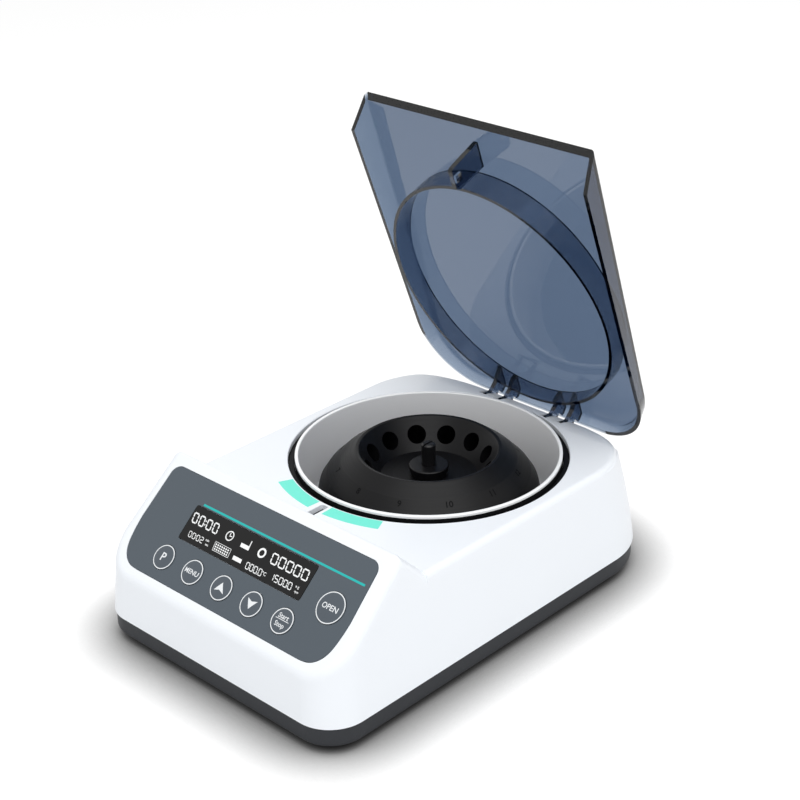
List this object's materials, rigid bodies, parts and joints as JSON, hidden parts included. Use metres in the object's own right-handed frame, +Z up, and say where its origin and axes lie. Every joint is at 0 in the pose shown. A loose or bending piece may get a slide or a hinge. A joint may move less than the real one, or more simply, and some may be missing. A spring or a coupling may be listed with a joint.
{
  "type": "mini centrifuge",
  "caption": "Bench-top mini centrifuge with an open smoky lid, a tilted key panel and a fixed-angle rotor for small tubes in a round chamber.",
  "frame": {"origin": "centre of the machine's footprint on the bench, at the underside of the feet, lid open", "axes": "+X to the user's right, +Y to the back, +Z up; the front panel faces -Y"},
  "size_m": [0.1828, 0.2756, 0.2608],
  "materials": {
    "white_housing": "fine satin moulding",
    "dark_grey_base": "fine matt moulding",
    "black_rubber": "matt",
    "grey_fascia": "flat printed sheet, matt",
    "dark_display_window": "polished",
    "screen_black": "matt",
    "circuit_board": "satin lacquer",
    "key_grey": "smooth satin",
    "bowl_light_grey": "smooth satin paint",
    "seal_black": "matt",
    "motor_aluminium": "plain cast",
    "steel": "fine turned",
    "rotor_black": "satin anodised look",
    "nut_black": "satin",
    "smoky_lid": "clear polished plastic",
    "latch_black": "matt",
    "inlet_black": "matt",
    "contact_brass": "bright",
    "rocker_black": "smooth"
  },
  "bodies": {
    "base": {"base_tray": "dark_grey_base", "foot_front_left": "black_rubber", "foot_front_right": "black_rubber", "foot_rear_left": "black_rubber", "foot_rear_right": "black_rubber", "housing_cover": "white_housing", "panel_plate": "grey_fascia", "display_window": "dark_display_window", "display_module": "screen_black", "control_board": "circuit_board", "rotor_chamber": "bowl_light_grey", "bowl_gasket": "seal_black", "motor_housing": "motor_aluminium", "motor_mount_front": "black_rubber", "motor_mount_left": "black_rubber", "motor_mount_right": "black_rubber", "hinge_bracket_left": "white_housing", "hinge_bracket_right": "white_housing", "hinge_pin_left": "steel", "hinge_pin_right": "steel", "latch_housing": "latch_black", "power_inlet": "inlet_black", "inlet_pin_left": "contact_brass", "inlet_pin_middle": "contact_brass", "inlet_pin_right": "contact_brass", "power_switch": "inlet_black", "drive_board": "circuit_board"},
    "lid": {"lid": "smoky_lid"},
    "spindle": {"drive_shaft": "steel", "rotor": "rotor_black", "rotor_nut": "nut_black"},
    "power_rocker": {"power_rocker": "rocker_black"},
    "latch_bolt": {"latch_bolt": "steel"},
    "key_program": {"key_program": "key_grey"},
    "key_menu": {"key_menu": "key_grey"},
    "key_up": {"key_up": "key_grey"},
    "key_down": {"key_down": "key_grey"},
    "key_start_stop": {"key_start_stop": "key_grey"},
    "key_open": {"key_open": "key_grey"}
  },
  "joints": [
    {"name": "lid_hinge", "type": "hinge", "parent": "base", "child": "lid", "pos_m": [0, 0.11811, 0.0676], "axis": [1, 0, 0], "range_deg": [0, 69]},
    {"name": "rotor_spin", "type": "hinge", "parent": "base", "child": "spindle", "pos_m": [0, 0.03171, 0.054], "axis": [0, 0, 1], "continuous": true},
    {"name": "key_program_press", "type": "slide", "parent": "base", "child": "key_program", "axis": [0, 0.6654, -0.7465], "range_m": [0, 0.001], "stiffness_N_per_m": 1500, "springref_m": -0.0004},
    {"name": "key_menu_press", "type": "slide", "parent": "base", "child": "key_menu", "axis": [0, 0.6654, -0.7465], "range_m": [0, 0.001], "stiffness_N_per_m": 1500, "springref_m": -0.0004},
    {"name": "key_up_press", "type": "slide", "parent": "base", "child": "key_up", "axis": [0, 0.6654, -0.7465], "range_m": [0, 0.001], "stiffness_N_per_m": 1500, "springref_m": -0.0004},
    {"name": "key_down_press", "type": "slide", "parent": "base", "child": "key_down", "axis": [0, 0.6654, -0.7465], "range_m": [0, 0.001], "stiffness_N_per_m": 1500, "springref_m": -0.0004},
    {"name": "key_start_stop_press", "type": "slide", "parent": "base", "child": "key_start_stop", "axis": [0, 0.6654, -0.7465], "range_m": [0, 0.001], "stiffness_N_per_m": 1500, "springref_m": -0.0004},
    {"name": "key_open_press", "type": "slide", "parent": "base", "child": "key_open", "axis": [0, 0.6654, -0.7465], "range_m": [0, 0.001], "stiffness_N_per_m": 1500, "springref_m": -0.0004},
    {"name": "rocker_tilt", "type": "hinge", "parent": "base", "child": "power_rocker", "pos_m": [0.036, 0.13212, 0.03066], "axis": [-1, 0, 0], "range_deg": [0, 16]},
    {"name": "bolt_slide", "type": "slide", "parent": "base", "child": "latch_bolt", "axis": [-1, 0, 0], "range_m": [0, 0.007], "stiffness_N_per_m": 200, "springref_m": -0.001}
  ]
}
